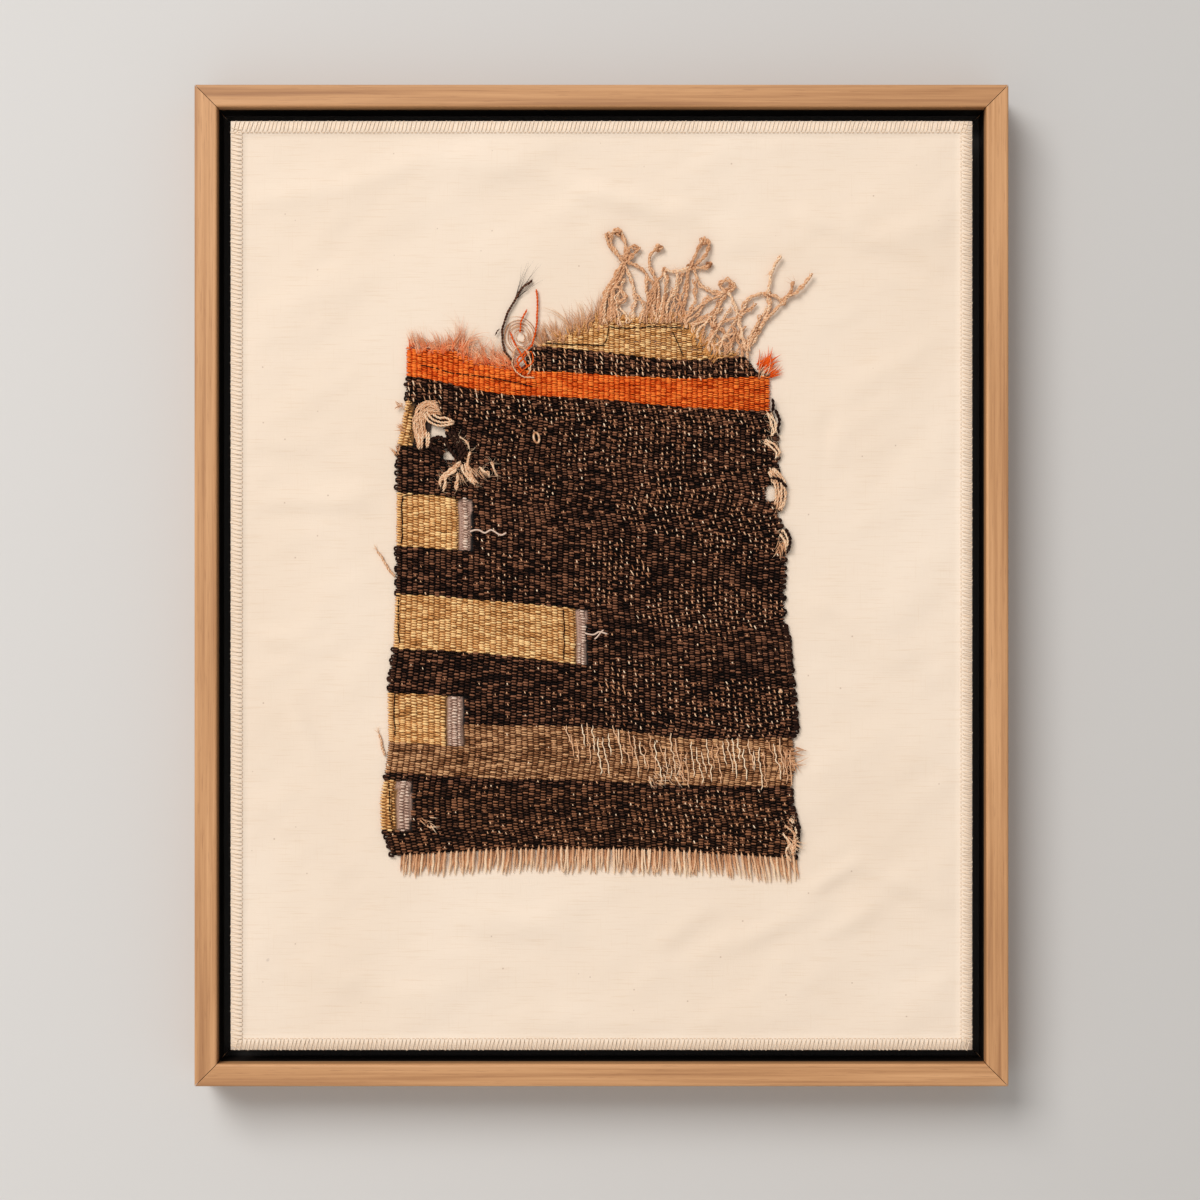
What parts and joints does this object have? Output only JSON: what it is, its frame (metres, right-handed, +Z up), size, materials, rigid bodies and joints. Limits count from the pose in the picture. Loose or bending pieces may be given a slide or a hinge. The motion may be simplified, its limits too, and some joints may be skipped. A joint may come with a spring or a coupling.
{
  "type": "framed kilim fragment",
  "caption": "Torn fragment of a flatwoven wool kilim on a cotton canvas panel, floated in a shallow oak frame that hangs on a wall.",
  "frame": {"origin": "middle of the oak frame's box", "axes": "+Z up, -Y out of the picture towards the viewer, +Y into the wall, +X to the viewer's right"},
  "size_m": [0.438, 0.035, 0.539],
  "materials": {
    "oak": "waxed, satin, inner wall and ledge stained dark",
    "dark_board": "matt dark board",
    "cotton_canvas": "unbleached plain weave",
    "dark_wool": "handspun wool, flatwoven",
    "bare_warp": "two-ply wool, frayed",
    "orange_wool": "handspun wool"
  },
  "bodies": {
    "root": {"rail_top": "oak", "rail_right": "oak", "rail_bottom": "oak", "rail_left": "oak", "mount_board": "dark_board", "backing_canvas": "cotton_canvas", "kilim_weave": "dark_wool", "bottom_fringe": "bare_warp", "flap_fringe": "bare_warp", "warp_tangle": "bare_warp", "yarn_tails": "orange_wool", "orange_tuft": "orange_wool", "bare_warps": "bare_warp", "side_thread_upper": "bare_warp", "side_thread_lower": "bare_warp"}
  },
  "joints": []
}
